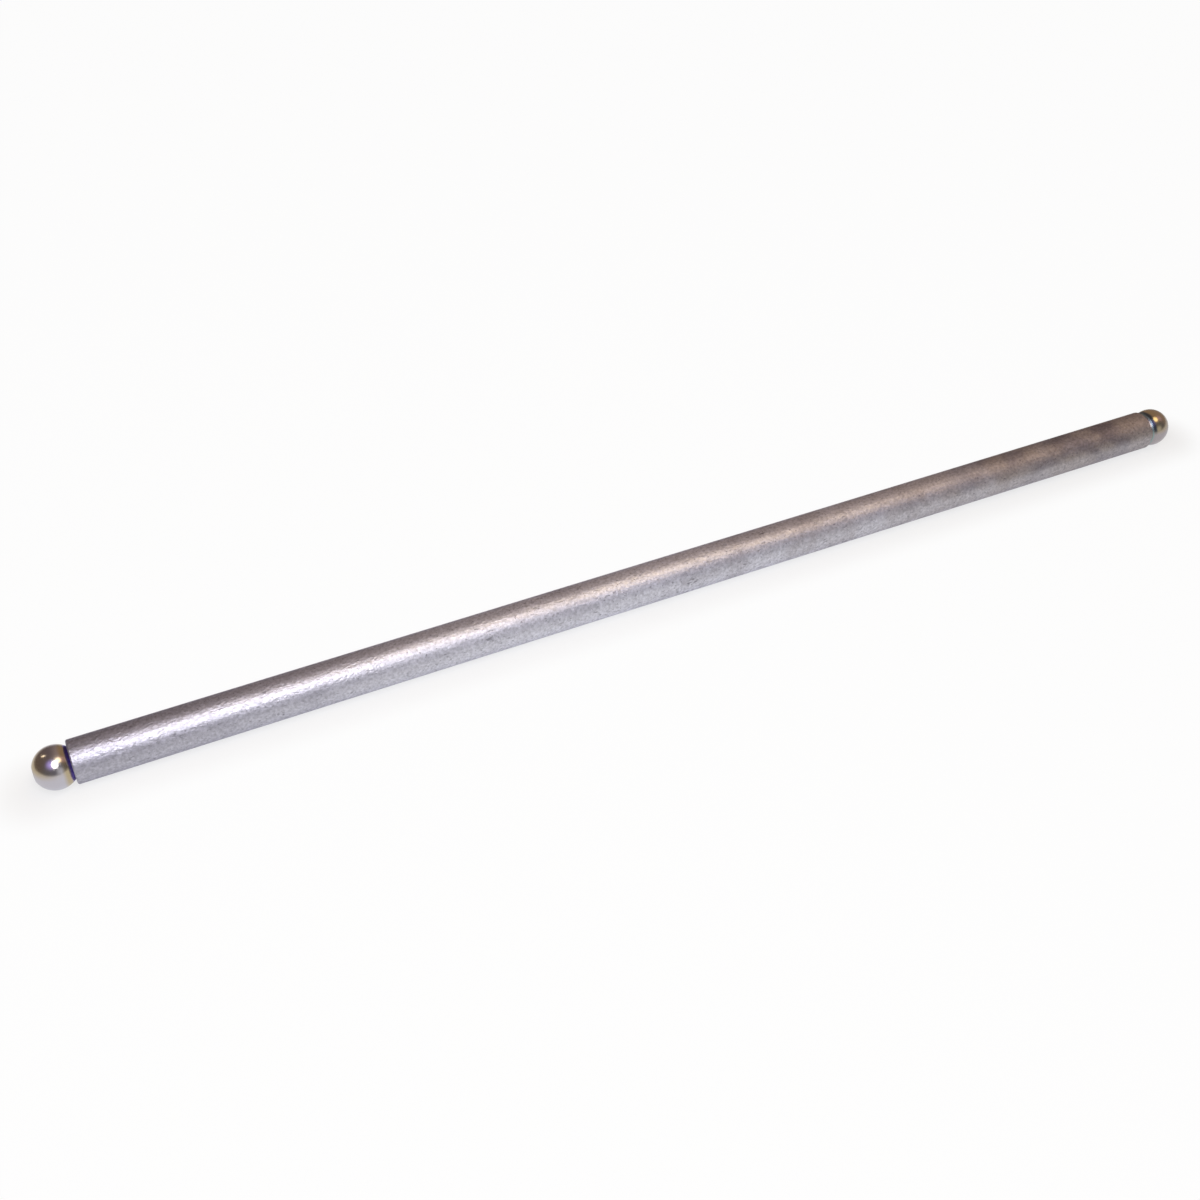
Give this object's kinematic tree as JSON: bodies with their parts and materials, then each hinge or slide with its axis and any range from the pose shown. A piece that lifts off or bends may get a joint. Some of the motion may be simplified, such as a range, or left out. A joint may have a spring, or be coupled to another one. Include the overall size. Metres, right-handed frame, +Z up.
{
  "type": "engine pushrod",
  "caption": "Straight hollow steel pushrod with a polished, oil-drilled ball end pressed into each end of its tube; it carries valve lift from tappet to rocker arm.",
  "frame": {"origin": "on the rod's axis, half way along it", "axes": "+X along the rod's axis, from the tappet ball end to the rocker ball end; +Z up, with the rod lying level"},
  "size_m": [0.2412, 0.008, 0.008],
  "materials": {
    "tube_steel": "satin, lightly pitted bare steel",
    "ball_steel": "polished hardened steel with a faint straw heat tint"
  },
  "bodies": {
    "root": {"tube": "tube_steel", "tappet_ball_end": "ball_steel", "rocker_ball_end": "ball_steel"}
  },
  "joints": []
}
